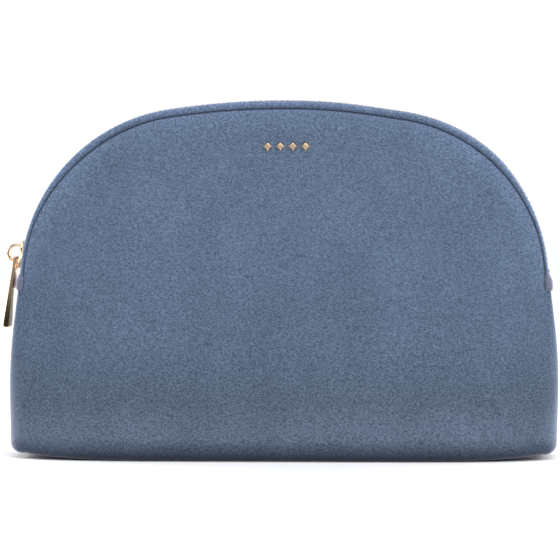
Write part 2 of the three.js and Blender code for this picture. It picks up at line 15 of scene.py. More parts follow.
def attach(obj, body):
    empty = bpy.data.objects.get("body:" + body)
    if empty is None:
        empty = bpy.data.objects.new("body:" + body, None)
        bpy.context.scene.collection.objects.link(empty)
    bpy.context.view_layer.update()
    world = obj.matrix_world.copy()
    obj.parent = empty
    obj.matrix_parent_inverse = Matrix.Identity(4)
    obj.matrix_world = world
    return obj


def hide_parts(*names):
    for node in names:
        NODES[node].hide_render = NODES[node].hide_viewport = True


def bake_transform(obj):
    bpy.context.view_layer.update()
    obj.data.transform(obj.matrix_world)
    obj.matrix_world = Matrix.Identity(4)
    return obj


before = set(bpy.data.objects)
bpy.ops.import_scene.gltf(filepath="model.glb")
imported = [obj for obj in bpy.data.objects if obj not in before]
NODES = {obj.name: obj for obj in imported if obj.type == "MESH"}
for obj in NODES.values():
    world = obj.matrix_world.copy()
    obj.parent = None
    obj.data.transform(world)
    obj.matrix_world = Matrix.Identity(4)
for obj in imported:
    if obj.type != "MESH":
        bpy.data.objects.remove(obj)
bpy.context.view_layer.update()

# %% [markdown]
# ## The outline
# Seen from the front, the pouch is drawn with tangent arcs, as a pattern cutter would draw it: a
# flat crown, two round shoulders, sides that lean out, and small corners at the base. A walk along
# that line gives any place on the edge, so the velvet, the tape, the teeth and the stitching can
# all follow the same line. Tracing it with a free curve would also work, but arcs stay smooth.

# %% Walk along the outline
MM = 0.001
HEIGHT, CROWN_R, SHOULDER_R, HIP_R, CORNER_R = 159.9, 344.0, 78.4, 210.0, 7.0
CROWN_END, SHOULDER_END, HIP_END = (math.radians(a) for a in (8.7, 82.9, 91.6))
SIDE_LENGTH = 28.0


def walk_outline():
    """Segments of the right half: (start, length, heading, radius or 0, x or centre x, z or centre z)."""
    parts, state = [], {"x": 0.0, "z": HEIGHT, "h": 0.0, "s": 0.0}

    def arc(radius, end):
        cx = state["x"] - radius * math.sin(state["h"])
        cz = state["z"] - radius * math.cos(state["h"])
        length = radius * (end - state["h"])
        parts.append((state["s"], length, state["h"], radius, cx, cz))
        x, z = cx + radius * math.sin(end), cz + radius * math.cos(end)
        state.update(s=state["s"] + length, h=end, x=x, z=z)

    def line(length):
        parts.append((state["s"], length, state["h"], 0.0, state["x"], state["z"]))
        state["s"] += length
        state["x"] += length * math.cos(state["h"])
        state["z"] -= length * math.sin(state["h"])

    arc(CROWN_R, CROWN_END)
    arc(SHOULDER_R, SHOULDER_END)
    line(SIDE_LENGTH)
    arc(HIP_R, HIP_END)
    line((state["z"] - CORNER_R * (1 + math.cos(HIP_END))) / math.sin(HIP_END))
    arc(CORNER_R, math.pi)
    line(state["x"])
    return parts


PARTS = walk_outline()
HALF_LENGTH = PARTS[-1][0] + PARTS[-1][1]


def slump(s):
    """The soft arch leans a little: the right of the crown sinks and the shoulder below it fills out."""
    return -0.75 * math.exp(-(((s - 50) / 20) ** 2)) + 0.65 * math.exp(-(((s - 102) / 20) ** 2))


def outline(s):
    """x, z, heading and outward normal at distance s from the top of the arch, in millimetres."""
    d = min(abs(s), HALF_LENGTH - 1e-6)
    start, length, heading, radius, x, z = [p for p in PARTS if p[0] <= d][-1]
    if radius:
        heading += (d - start) / radius
        x, z = x + radius * math.sin(heading), z + radius * math.cos(heading)
    else:
        x, z = x + (d - start) * math.cos(heading), z - (d - start) * math.sin(heading)
    side = -1 if s < 0 else 1
    lean = slump(s)
    return (side * (x + lean * math.sin(heading)), z + lean * math.cos(heading), heading,
            side * math.sin(heading), math.cos(heading))


# The parked slider, the stops and then the end tab set where the zip ends.
SLIDER_HEADING, SLIDER_LENGTH, STOP_LENGTH, TAB_LENGTH, GAP = math.radians(81.1), 12.0, 1.6, 8.0, 0.3
SLIDER_PLACE = -(PARTS[1][0] + SHOULDER_R * (SLIDER_HEADING - CROWN_END))
ZIP_HALF = -SLIDER_PLACE + SLIDER_LENGTH / 2 + GAP + STOP_LENGTH
TAB_START, TAB_END = ZIP_HALF + GAP, ZIP_HALF + GAP + TAB_LENGTH
ZIP_END = outline(-TAB_END - GAP)[1]
print("half of the outline:", round(HALF_LENGTH, 1), "mm, half of the zip:", round(ZIP_HALF, 1), "mm")

# %% [markdown]
# ## The shape of a wall
# Each wall is a sheet that starts at an edge, turns over it and runs up or down to a level line in
# the middle of the wall. The edge differs from place to place: along the zip the velvet is turned
# in and stitched down, so it makes a thin puffed roll with a groove under the stitches, and on the
# sides and the base it runs flat to the seam. A loft of ribs gives both, with one smooth change
# between them where the zip ends. A sculpted or simulated sheet could bulge more freely, but the
# ribs keep the roll, the seam and the stitching exactly where the machine would have put them.

# %% Depth of the wall
BAND, ROLL = 6.0, 1.5
BASE_DEPTH, BASE_ROLL = 37.0, 9.0
CORNER_BAND, CORNER_ROLL = 11.0, 15.0
BULGE, RISE = 2.5, 58.0
SPINE_Z, SPINE_SHARE = 66.0, 0.42
SEAM, SEAM_DIP, SEAM_DIP_WIDTH = 2.0, 0.55, 0.8
CORNER_LIFT = 2.4
HALF_WIDTH = PARTS[-1][4]


def ease(t):
    t = min(1.0, max(0.0, t))
    return t * t * (3 - 2 * t)


def mix(a, b, t):
    return a + (b - a) * t


def under_share(heading):
    """0 on the sides and 1 under the base, changing round the corner."""
    return min(1.0, max(0.0, (math.degrees(heading) - 95) / 80))


def across_share(x):
    return min(1.0, abs(x) / HALF_WIDTH)


def edge(x, z, heading):
    """Half the flat band beside the edge, and the rounding from it to the wall."""
    down = ease((ZIP_END + 8 - z) / ZIP_END)
    under, across = under_share(heading), across_share(x)
    base_band = mix(BASE_DEPTH, CORNER_BAND + CORNER_ROLL, across**5) - BASE_ROLL
    band = mix(mix(BAND, CORNER_BAND, down), base_band, under)
    return band, mix(mix(ROLL, CORNER_ROLL, down), BASE_ROLL, under)


def wall_depth(z):
    up = min(1.0, max(0.0, z / HEIGHT))
    return mix(BASE_DEPTH, BAND + ROLL, up) + BULGE * math.sin(math.pi * up)


def softness(x, z):
    """Slow hollows and swells of a hand-filled wall, about half a millimetre."""
    p = Vector((x / 46, 3.1, z / 34))
    return 0.45 * noise.noise(p) + 0.2 * noise.noise(p * 2.3)


# Turned edge beside the zip: depth and distance in from the outline, from the hidden hem outward.
HEM = [(5.8, 4.6), (5.72, 3.0), (5.7, 1.9), (5.72, 1.15), (5.88, 0.5), (6.25, 0.12), (6.75, 0.0)]
PUFF = [(7.3, 0.08), (7.8, 0.4), (8.15, 0.95), (8.28, 1.65), (8.15, 2.35), (7.85, 2.9), (7.35, 3.32),
        (7.0, 3.55), (7.35, 3.78), (7.85, 4.15), (8.1, 4.75)]
STITCH_ROW = len(HEM) + 7  # the lowest row of the groove
# Painted light on each row of the wall: above 0 a painted highlight, on the top of the rolled edge, just
# inside the groove and beside the seams; below 0 painted shade, in the stitch groove and at the seams.
ZIP_ROW_PAINTED_LIGHT = [0, 0, 0, 0.1, 0.3, 0.7, 1.0] + [1.0, 0.8, 0.45, 0.25, 0.15, 0.0, -0.5, -1.0, -0.3, 0.35, 0.3]
SEAM_ROW_PAINTED_LIGHT = [-1.0, -0.45, 0.1, 0.25, 0.35, 0.45, 0.5, 0.45, 0.35, 0.25, 0.15, 0.05]
FACE_ROWS, ROW_STEP = 20, 0.2


def roll_share(heading):
    """The rolled edge gets narrower down the sides, where the wall turns away."""
    return mix(1.0, 0.48, ease((math.degrees(heading) - 38) / 40))


def corner_lift(x, heading):
    """The base is pulled up a little towards its corners, where the walls stiffen it."""
    return CORNER_LIFT * under_share(heading) * across_share(x) ** 7


def zip_share(z, heading):
    """1 beside the zip and 0 at the plain seams; the change hides under the end tab."""
    return ease((z - ZIP_END - 0.5) / 4.0) if heading < 1.7 else 0.0


def rib(s, side, inset=0.0, margin=None):
    """One rib of the sheet that lies inset inside the outer face, from its edge to the level line.
    margin trims it back from the zip, for the layers inside."""
    x, z, heading, nx, nz = outline(s)
    band, roll = edge(x, z, heading)
    z += corner_lift(x, heading)
    full = band + roll
    x1 = SPINE_SHARE * x
    reach = math.hypot(x1 - x, SPINE_Z - z)
    ux, uz = (x1 - x) / reach, (SPINE_Z - z) / reach
    by_zip = zip_share(z, heading)
    seam = SEAM if side > 0 else -SEAM

    def face_depth(r, z_here):
        v = min(1.0, max(0.0, (r - roll) / RISE))
        return mix(full, wall_depth(z_here), v * (2 - v))

    rows = []
    count = len(HEM) + len(PUFF)
    inner_roll = max(roll - inset, 0.2)
    inner_band = min(band, full - inset - 0.2)
    for k in range(count):
        # on a side or the base: flat from the seam, then round to the wall
        if k < len(HEM):
            d = mix(seam, inner_band, k / len(HEM))
            r = 0.0
            dip = inset + SEAM_DIP * math.exp(-(((d - seam) / SEAM_DIP_WIDTH) ** 2))
        else:
            a = (k - len(HEM)) / (len(PUFF) - 1) * math.pi / 2
            d, r, dip = inner_band + inner_roll * math.sin(a), inner_roll * (1 - math.cos(a)), inset
        px, pz = x - dip * nx + r * ux, z - dip * nz + r * uz
        if by_zip > 0:
            if margin is None:
                zd, zr = (HEM + PUFF)[k]
                zr *= roll_share(heading)
            else:
                zr = margin + ROW_STEP * k
                zd = face_depth(zr, z + zr * uz) - inset
            zx, zz = x + zr * ux, z + zr * uz
            px, pz, d = mix(px, zx, by_zip), mix(pz, zz, by_zip), mix(d, zd, by_zip)
        rows.append((px, d, pz))
    zip_start = PUFF[-1][1] * roll_share(heading) if margin is None else margin + ROW_STEP * count
    start = mix(roll, zip_start, by_zip)
    for k in range(1, FACE_ROWS + 1):
        t = k / FACE_ROWS
        r = mix(start, 0.985 * reach, 0.35 * t + 0.65 * t * t)
        px, pz = x + r * ux, z + r * uz
        d = face_depth(r, pz) - inset
        away = ease(r / 22)
        rows.append((px, d + away * softness(px + 300 * side, pz), pz))
    return [(px * MM, side * d * MM, pz * MM) for px, d, pz in rows]


print("rows in a rib:", len(rib(0.0, -1)))

# %% [markdown]
# ## Making a sheet from its ribs
# The ribs are joined into a closed ring of faces, and the narrow slot left along the level line is
# filled. The sheet then gets its thickness on the inside with Solidify, so its outer face stays
# where it was drawn. The walls fold when the pouch opens, so their faces must be small: the velvet's
# ribs are two millimetres apart.


# %% Build a sheet
def finish_normals(obj):
    """Merges doubles and turns every face of a closed piece outwards."""
    bpy.ops.object.select_all(action="DESELECT")
    bpy.context.view_layer.objects.active = obj
    obj.select_set(True)
    bpy.ops.object.mode_set(mode="EDIT")
    bpy.ops.mesh.select_all(action="SELECT")
    bpy.ops.mesh.remove_doubles(threshold=1e-6)
    bpy.ops.mesh.normals_make_consistent(inside=False)
    bpy.ops.object.mode_set(mode="OBJECT")


def apply_modifiers(obj):
    bpy.context.view_layer.objects.active = obj
    for modifier in list(obj.modifiers):
        bpy.ops.object.modifier_apply(modifier=modifier.name)


def wall_sheet(name, side, inset, thickness, margin=None, step=2.0):
    count = int(2 * HALF_LENGTH / step)
    places = [-HALF_LENGTH + (i + 0.5) * 2 * HALF_LENGTH / count for i in range(count)]
    ribs = [rib(s, side, inset, margin) for s in places]
    rows = len(ribs[0])
    points = [p for line in ribs for p in line]
    faces = []
    for i in range(count):
        a, b = i * rows, (i + 1) % count * rows
        for k in range(rows - 1):
            quad = (a + k, b + k, b + k + 1, a + k + 1)
            faces.append(quad if side < 0 else quad[::-1])
    slot_edge = [i * rows + rows - 1 for i in range(count)]
    mesh = bpy.data.meshes.new(name)
    mesh.from_pydata(points, [], faces)
    # Painted highlight and painted shade for each vertex, read by the velvet's colour.
    pile_and_painted_light = mesh.attributes.new("pile_and_painted_light", "FLOAT", "POINT")
    for i, s in enumerate(places):
        x, z, heading, _, _ = outline(s)
        zipped = zip_share(z, heading)
        for k in range(rows):
            by_zip = ZIP_ROW_PAINTED_LIGHT[k] if k < len(ZIP_ROW_PAINTED_LIGHT) else 0.2 * max(0, 1 - (k - len(ZIP_ROW_PAINTED_LIGHT)) / 4)
            by_seam = SEAM_ROW_PAINTED_LIGHT[k] if k < len(SEAM_ROW_PAINTED_LIGHT) else 0.0
            pile_and_painted_light.data[i * rows + k].value = mix(by_seam, by_zip, zipped)
    obj = bpy.data.objects.new(name, mesh)
    bpy.context.collection.objects.link(obj)
    bpy.ops.object.select_all(action="DESELECT")
    bpy.context.view_layer.objects.active = obj
    obj.select_set(True)
    bpy.ops.object.mode_set(mode="EDIT")
    bpy.ops.mesh.select_mode(type="VERT")
    bpy.ops.mesh.select_all(action="DESELECT")
    bpy.ops.object.mode_set(mode="OBJECT")
    for i in slot_edge:
        mesh.vertices[i].select = True
    bpy.ops.object.mode_set(mode="EDIT")
    bpy.ops.mesh.select_mode(type="EDGE")
    bpy.ops.mesh.fill(use_beauty=True)
    bpy.ops.mesh.select_all(action="SELECT")
    bpy.ops.mesh.normals_make_consistent(inside=False)
    bpy.ops.object.mode_set(mode="OBJECT")
    # the sheet is open, so the face that stands out most tells whether it came out inside out
    middle = max(mesh.polygons, key=lambda f: abs(f.center.y))
    if middle.normal.y * side < 0:
        mesh.flip_normals()
    solid = obj.modifiers.new("thickness", "SOLIDIFY")
    solid.thickness, solid.offset, solid.use_even_offset = thickness * MM, -1.0, False
    apply_modifiers(obj)
    bpy.ops.object.shade_smooth_by_angle(angle=math.radians(50))
    return obj


def folds(obj):
    """Bakes the piece's transform into its mesh."""
    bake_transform(obj)


velvet_walls, foam_walls, lining_walls = [], [], []
for wall, side in (("front", -1), ("back", 1)):
    velvet = wall_sheet(f"velvet_{wall}", side, 0.0, 0.85)
    foam = wall_sheet(f"foam_{wall}", side, 1.25, 1.5, margin=10.0, step=4.0)
    lining = wall_sheet(f"lining_{wall}", side, 3.15, 0.3, margin=8.0, step=3.0)
    for obj, look in ((velvet, "velvet"), (foam, "foam"), (lining, "lining")):
        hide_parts(f"{look}_{wall}_tub", f"{look}_{wall}_flap")
        folds(obj)
    velvet_walls.append(velvet)
    foam_walls.append(foam)
    lining_walls.append(lining)

# %% [markdown]
# ## A path for the zip
# A zip is a straight thing bent round an arch. The simplest way to make one is to lay it out
# straight, one tooth or stitch repeated with Array, and bend it with a Curve modifier along a path.
# The path is a flat curve, because a flat curve never twists what follows it.


# %% Bend a straight piece round the arch
def arch_path(name, start, end, inward=0.0, step=1.0):
    """A flat curve along the outline from start to end, drawn in its own x-y plane."""
    count = int((end - start) / step)
    curve = bpy.data.curves.new(name, "CURVE")
    curve.dimensions = "2D"
    line = curve.splines.new("POLY")
    line.points.add(count)
    for i in range(count + 1):
        x, z, heading, nx, nz = outline(mix(start, end, i / count))
        line.points[i].co = ((x - inward * nx) * MM, (z - inward * nz) * MM, 0, 1)
    path = bpy.data.objects.new(name, curve)
    bpy.context.collection.objects.link(path)
    path.rotation_euler = (math.pi / 2, 0, 0)
    return path


def bend(obj, path):
    """obj was laid out straight: x along the zip, y outward, z towards the front. It is bent along
    the path, applied, and left at the origin."""
    obj.rotation_euler = (math.pi / 2, 0, 0)
    bpy.context.view_layer.update()
    modifier = obj.modifiers.new("along", "CURVE")
    modifier.object, modifier.deform_axis = path, "POS_X"
    apply_modifiers(obj)
    bpy.ops.object.select_all(action="DESELECT")
    obj.select_set(True)
    bpy.context.view_layer.objects.active = obj
    bpy.ops.object.transform_apply(location=True, rotation=True, scale=True)


def box_piece(name, low, high):
    """A cube primitive between two corners, in millimetres, left in edit mode with all selected."""
    bpy.ops.object.select_all(action="DESELECT")
    bpy.ops.mesh.primitive_cube_add(size=1, location=(0, 0, 0))
    obj = bpy.context.active_object
    obj.name = obj.data.name = name
    size = [b - a for a, b in zip(low, high)]
    obj.data.transform(Matrix.Diagonal((*[v * MM for v in size], 1)))
    obj.data.transform(Matrix.Translation([(a + b) / 2 * MM for a, b in zip(low, high)]))
    bpy.ops.object.mode_set(mode="EDIT")
    bpy.ops.mesh.select_all(action="SELECT")
    return obj


TAPE_END = TAB_END - 0.3
zip_path = arch_path("zip_path", -TAPE_END, TAPE_END)
print("zip path:", round(2 * TAPE_END), "mm")

# %% [markdown]
# ## One tooth, repeated
# A metal zip's teeth are stamped, then pinched over a corded edge: two legs grip the cord, and a
# narrower head with a bump on it reaches over the middle and sits between two heads of the other
# side. One tooth is a box whose far end is drawn out and narrowed. Some two hundred and sixty copies
# are needed, so it keeps to a few dozen faces.

# %% Teeth
PITCH = 2.4
CHAIN_MID = 0.7  # the chain's middle, inward from the outline


def tooth_row(name, side, start, end):
    tooth = box_piece(name, (0.0, -0.95, 1.35), (1.15, 0.95, 3.0))
    bpy.ops.mesh.select_mode(type="FACE")
    bpy.ops.mesh.select_all(action="DESELECT")
    bpy.ops.object.mode_set(mode="OBJECT")
    for face in tooth.data.polygons:
        face.select = face.normal.z < -0.9
    bpy.ops.object.mode_set(mode="EDIT")
    bpy.ops.mesh.extrude_region_move(TRANSFORM_OT_translate={"value": (0, 0, -1.0 * MM)})
    bpy.ops.transform.resize(value=(0.86, 0.8, 1))
    bpy.ops.mesh.extrude_region_move(TRANSFORM_OT_translate={"value": (0, 0, -1.05 * MM)})
    bpy.ops.transform.resize(value=(0.72, 0.72, 1))
    bpy.ops.mesh.select_all(action="SELECT")
    bpy.ops.mesh.bevel(offset=0.13 * MM, segments=1, affect="EDGES")
    bpy.ops.object.mode_set(mode="OBJECT")
    tooth.data.transform(Matrix.Translation((0, -CHAIN_MID * MM, 0)))
    if side > 0:
        tooth.data.transform(Matrix.Diagonal((1, 1, -1, 1)))
        tooth.data.transform(Matrix.Translation((PITCH / 2 * MM, 0, 0)))
        finish_normals(tooth)
    count = int((end - start) / PITCH)
    tooth.data.transform(Matrix.Translation(((start + TAPE_END) * MM, 0, 0)))
    array = tooth.modifiers.new("row", "ARRAY")
    array.use_relative_offset, array.use_constant_offset = False, True
    array.constant_offset_displace, array.count = (PITCH * MM, 0, 0), count
    apply_modifiers(tooth)
    bend(tooth, zip_path)
    return tooth, count


zip_pieces = []
CHAIN_END = ZIP_HALF - 1.9
for wall, side in (("front", -1), ("back", 1)):
    row, count = tooth_row(f"zip_teeth_{wall}", side, -CHAIN_END, CHAIN_END)
    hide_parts(*[f"teeth_{wall}_{part}" for part in ("left", "flap", "right")])
    folds(row)
    zip_pieces.append(row)
    print(wall, "row:", count, "teeth,", len(row.data.polygons), "faces")

# %% [markdown]
# ## Tape and corded edge
# The teeth grip a cord woven into the edge of each tape. Beyond it the tape runs flat to the
# velvet's turned edge and then down behind it. A flat bar follows the path for each stretch: this
# is a woven strip that never hangs free, so it needs no simulation.


# %% Tapes
def strip(name, corners, start, end, step=2.5):
    """A bar with the given [outward, towards the front] corners, drawn out along the zip in short steps, so
    that it can follow the bend, and then bent."""
    count = int((end - start) / step)
    bpy.ops.object.select_all(action="DESELECT")
    bpy.ops.mesh.primitive_circle_add(vertices=len(corners), radius=1, fill_type="NGON")
    obj = bpy.context.active_object
    obj.name = obj.data.name = name
    for vertex, (out, front) in zip(obj.data.vertices, corners):
        vertex.co = ((start + TAPE_END) * MM, out * MM, front * MM)
    bpy.ops.object.mode_set(mode="EDIT")
    bpy.ops.mesh.select_mode(type="FACE")
    bpy.ops.mesh.select_all(action="SELECT")
    for _ in range(count):
        bpy.ops.mesh.extrude_region_move(TRANSFORM_OT_translate={"value": ((end - start) / count * MM, 0, 0)})
    bpy.ops.object.mode_set(mode="OBJECT")
    finish_normals(obj)
    bend(obj, zip_path)
    for face in obj.data.polygons:
        face.use_smooth = True
    return obj


for wall, side in (("front", -1), ("back", 1)):
    f = -side
    cord_corners = [(-CHAIN_MID + 0.62 * math.cos(a), f * (2.55 + 0.62 * math.sin(a)))
                    for a in (k * math.pi / 4 for k in range(8))]
    cord = strip(f"zip_cord_{wall}", cord_corners, -CHAIN_END - 0.5, CHAIN_END + 0.5)
    tape = strip(f"zip_tape_{wall}", [(-0.42, f * 3.0), (-0.42, f * 5.1), (-0.75, f * 5.5), (-3.0, f * 5.62),
                                      (-9.3, f * 6.1), (-9.3, f * 5.6), (-3.0, f * 5.1), (-1.2, f * 4.9),
                                      (-0.95, f * 4.6), (-0.95, f * 3.0)], -TAPE_END, TAPE_END)
    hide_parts(*[f"tape_{wall}_{part}" for part in ("left", "flap", "right")])
    for obj in (cord, tape):
        folds(obj)
        zip_pieces.append(obj)
print("tapes and cords:", len(zip_pieces) - 2)

# %% [markdown]
# ## Topstitching
# A line of navy thread holds the turned edge down, three millimetres in from it. Each stitch is a
# short bead that dips at both ends where the thread goes through the velvet. The path for it isn't
# flat, because the stitches lie on the sloping wall, so a three-dimensional curve is used.


# %% Stitches
THREAD_R, STITCH_LENGTH = 0.34, 1.7


def stitch_line(name, side, start, end, pitch=2.05):
    bpy.ops.object.select_all(action="DESELECT")
    bpy.ops.mesh.primitive_cylinder_add(
        vertices=8, radius=THREAD_R * MM, depth=STITCH_LENGTH * MM, rotation=(0, math.pi / 2, 0))
    stitch = bpy.context.active_object
    stitch.name = stitch.data.name = name
    bpy.ops.object.transform_apply(location=True, rotation=True, scale=True)
    bpy.ops.object.mode_set(mode="EDIT")
    bpy.ops.mesh.select_all(action="SELECT")
    bpy.ops.mesh.subdivide(number_cuts=1)
    bpy.ops.object.mode_set(mode="OBJECT")
    for v in stitch.data.vertices:
        t = abs(v.co.x) / (STITCH_LENGTH / 2 * MM)
        v.co.y *= 1 - 0.45 * t * t
        v.co.z *= 1 - 0.45 * t * t
    array = stitch.modifiers.new("line", "ARRAY")
    array.use_relative_offset, array.use_constant_offset = False, True
    points = [rib(s, side)[STITCH_ROW] for s in np.arange(start, end, 1.0)]
    length = sum((Vector(b) - Vector(a)).length for a, b in zip(points, points[1:]))
    array.constant_offset_displace, array.count = (pitch * MM, 0, 0), int(length / (pitch * MM))
    apply_modifiers(stitch)
    curve = bpy.data.curves.new(name + "_path", "CURVE")
    curve.dimensions = "3D"
    line = curve.splines.new("POLY")
    line.points.add(len(points) - 1)
    for point, co in zip(line.points, points):
        point.co = (*co, 1)
    path = bpy.data.objects.new(name + "_path", curve)
    bpy.context.collection.objects.link(path)
    modifier = stitch.modifiers.new("along", "CURVE")
    modifier.object, modifier.deform_axis = path, "POS_X"
    apply_modifiers(stitch)
    bpy.data.objects.remove(path)
    for face in stitch.data.polygons:
        face.use_smooth = True
    return stitch


STITCH_END = TAB_START + 1.5
stitch_lines = []
for wall, side in (("front", -1), ("back", 1)):
    line = stitch_line(f"topstitch_{wall}", side, -STITCH_END, STITCH_END)
    folds(line)
    stitch_lines.append(line)
    print(wall, "topstitching:", len(line.data.polygons), "faces")
bpy.data.objects.remove(zip_path)

# %% [markdown]
# ## Metal pieces
# The slider, its bail, the pull and the studs are cast, then polished, so every edge is rounded.
# The plain model already has their shapes. A copy of each is cleaned of its loose triangles and its
# sharp edges are bevelled: modelling them again would only repeat the same sizes.


# %% Round the edges of the metal pieces
def rounded_copy(node, name, width, segments=3, angle=35):
    source = NODES[node]
    obj = bpy.data.objects.new(name, source.data.copy())
    bpy.context.collection.objects.link(obj)
    obj.data.name = name
    obj.data.materials.clear()
    bpy.ops.object.select_all(action="DESELECT")
    obj.select_set(True)
    bpy.context.view_layer.objects.active = obj
    bpy.ops.object.mode_set(mode="EDIT")
    bpy.ops.mesh.select_all(action="SELECT")
    bpy.ops.mesh.remove_doubles(threshold=2e-6)
    bpy.ops.mesh.customdata_custom_splitnormals_clear()
    bpy.ops.mesh.dissolve_limited(angle_limit=math.radians(4))
    bpy.ops.mesh.normals_make_consistent(inside=False)
    bpy.ops.object.mode_set(mode="OBJECT")
    bevel = obj.modifiers.new("edges", "BEVEL")
    bevel.width, bevel.segments = width * MM, segments
    bevel.limit_method, bevel.angle_limit = "ANGLE", math.radians(angle)
    bevel.use_clamp_overlap = True
    apply_modifiers(obj)
    bpy.ops.object.select_all(action="DESELECT")
    obj.select_set(True)
    bpy.context.view_layer.objects.active = obj
    bpy.ops.object.shade_smooth_by_angle(angle=math.radians(50))
    obj.modifiers.new("flat_faces", "WEIGHTED_NORMAL").keep_sharp = True
    apply_modifiers(obj)
    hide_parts(node)
    return obj


metal = []
CAST = [("slider_body", "slider", 0.22), ("slider_bail", "slider", 0.5), ("pull_tab", "pull", 0.3)]
CAST += [(f"badge_stud_{i}", "front_flap", 0.14) for i in range(1, 5)]
for node, body, width in CAST:
    piece = rounded_copy(node, node + "_polished", width)
    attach(piece, body)
    metal.append(piece)
print("metal pieces:", [p.name for p in metal])

# %% [markdown]
# ## Zip ends
# A scrap of folded velvet covers each end of the zip. It swells out of the rolled edge at the top,
# goes over the tape and both rolls, and its lower end is round. The side seam starts under it.


# %% End tabs
# One half of the section, as [outward, to the side]: its underside, its lip and its top.
TAB_SECTION = [(-0.2, 5.4), (0.3, 5.4), (0.3, 6.1), (0.05, 6.9), (-0.75, 7.75), (-1.6, 8.3),
               (-2.1, 8.55), (-2.3, 9.0), (-1.7, 9.35), (-0.6, 9.25), (0.4, 8.5), (1.1, 7.2),
               (1.4, 5.0), (1.45, 2.0)]
TAB_STEPS = 8


def end_tab(name, side):
    length = TAB_END - TAB_START
    section = TAB_SECTION + [(out, -front) for out, front in reversed(TAB_SECTION)]
    bpy.ops.object.select_all(action="DESELECT")
    bpy.ops.mesh.primitive_circle_add(vertices=len(section), radius=1, fill_type="NGON")
    tab = bpy.context.active_object
    tab.name = tab.data.name = name
    for vertex, (out, front) in zip(tab.data.vertices, section):
        vertex.co = (0, out * MM, front * MM)
    bpy.ops.object.mode_set(mode="EDIT")
    for _ in range(TAB_STEPS):
        bpy.ops.mesh.extrude_region_move(TRANSFORM_OT_translate={"value": (length / TAB_STEPS * MM, 0, 0)})
    bpy.ops.mesh.select_all(action="SELECT")
    bpy.ops.mesh.remove_doubles(threshold=1e-7)
    bpy.ops.mesh.normals_make_consistent(inside=False)
    bpy.ops.object.mode_set(mode="OBJECT")
    for v in tab.data.vertices:
        t = v.co.x / (length * MM)
        low = t if side > 0 else 1 - t  # 0 at the upper end, 1 at the lower end
        soft = math.sqrt(max(0.0, 1 - max(0.0, (low - 0.5) / 0.52) ** 2)) * ease(low / 0.45)
        out, front = v.co.y / MM, v.co.z / MM
        out = 0.3 + (out - 0.3) * mix(0.08, 1.0, soft) if out > 0.32 else out
        out = out * mix(0.72, 1.0, soft) if out < 0 else out
        v.co.y, v.co.z = out * MM, front * mix(0.9, 1.0, soft) * MM
    tab.data.transform(Matrix.Translation((((TAB_START if side > 0 else -TAB_END) + TAPE_END) * MM, 0, 0)))
    smooth = tab.modifiers.new("soften", "SUBSURF")
    smooth.levels = smooth.render_levels = 2
    apply_modifiers(tab)
    path = arch_path("tab_path", -TAPE_END, TAPE_END)
    bend(tab, path)
    bpy.data.objects.remove(path)
    for face in tab.data.polygons:
        face.use_smooth = True
    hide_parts(f"zip_end_tab_{'left' if side < 0 else 'right'}")
    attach(tab, "tub")
    return tab


tabs = [end_tab("zip_end_left", -1), end_tab("zip_end_right", 1)]
print("end tabs:", len(tabs))

# %% [markdown]
# ## Velvet
# Short pile scatters light, so the cloth looks darkest straight on and pale where it turns away:
# that is Sheen. The pile also lies in slightly different directions, which makes soft cloudy
# patches, and under them there is a fine grain. Noise on Object coordinates gives both at their
# real size. The colours are close together: strong contrast would look like stone.

# The colour also carries painted light: painted shade by height above the base, painted highlights and painted
# shade along the rolled edge and the seams, and a paler mauve copy of the velvet for the end tabs as painted
# sheen.

# %% Material helpers
def new_material(name, **values):
    material = bpy.data.materials.new(name)
    material.use_nodes = True
    shader = material.node_tree.nodes["Principled BSDF"]
    for key, value in values.items():
        shader.inputs[key.replace("_", " ")].default_value = value
    return material, material.node_tree.nodes, material.node_tree.links, shader


def srgb(r, g, b):
    shades = [c / 255 / 12.92 if c <= 10 else ((c / 255 + 0.055) / 1.055) ** 2.4 for c in (r, g, b)]
    return (*shades, 1.0)


def noise_at(nodes, links, scale, detail=3.0, stretch=(1, 1, 1)):
    coords = nodes.new("ShaderNodeTexCoord")
    mapping = nodes.new("ShaderNodeMapping")
    mapping.inputs["Scale"].default_value = stretch
    texture = nodes.new("ShaderNodeTexNoise")
    texture.inputs["Scale"].default_value = scale
    texture.inputs["Detail"].default_value = detail
    links.new(coords.outputs["Object"], mapping.inputs["Vector"])
    links.new(mapping.outputs["Vector"], texture.inputs["Vector"])
    return texture.outputs["Fac"]


def ramp(nodes, links, value, *stops):
    node = nodes.new("ShaderNodeValToRGB")
    elements = node.color_ramp.elements
    while len(elements) < len(stops):
        elements.new(0.5)
    for element, (position, colour) in zip(elements, stops):
        element.position, element.color = position, colour
    links.new(value, node.inputs["Fac"])
    return node.outputs["Color"]


def bump(nodes, links, shader, layers):
    """layers: (height, strength, distance in metres) from the coarsest to the finest."""
    previous = None
    for height, strength, distance in layers:
        node = nodes.new("ShaderNodeBump")
        node.inputs["Strength"].default_value = strength
        node.inputs["Distance"].default_value = distance
        links.new(height, node.inputs["Height"])
        if previous:
            links.new(previous, node.inputs["Normal"])
        previous = node.outputs["Normal"]
    links.new(previous, shader.inputs["Normal"])


def blend_colour(nodes, links, kind, factor, a, b):
    node = nodes.new("ShaderNodeMix")
    node.data_type, node.blend_type = "RGBA", kind
    node.inputs[0].default_value = factor
    links.new(a, node.inputs[6])
    links.new(b, node.inputs[7])
    return node.outputs[2]


# %% Velvet
def painted_shade_by_height(nodes, links, *stops):
    """Painted shade and painted light by height above the base, multiplied into the colour. Stops are (metres,
    shade).
    """
    coords = nodes.new("ShaderNodeTexCoord")
    split = nodes.new("ShaderNodeSeparateXYZ")
    links.new(coords.outputs["Object"], split.inputs["Vector"])
    reach = nodes.new("ShaderNodeMapRange")
    reach.inputs["From Max"].default_value = 0.16
    links.new(split.outputs["Z"], reach.inputs["Value"])
    return ramp(nodes, links, reach.outputs["Result"], *[(z / 0.16, (*shade, 1)) for z, shade in stops])


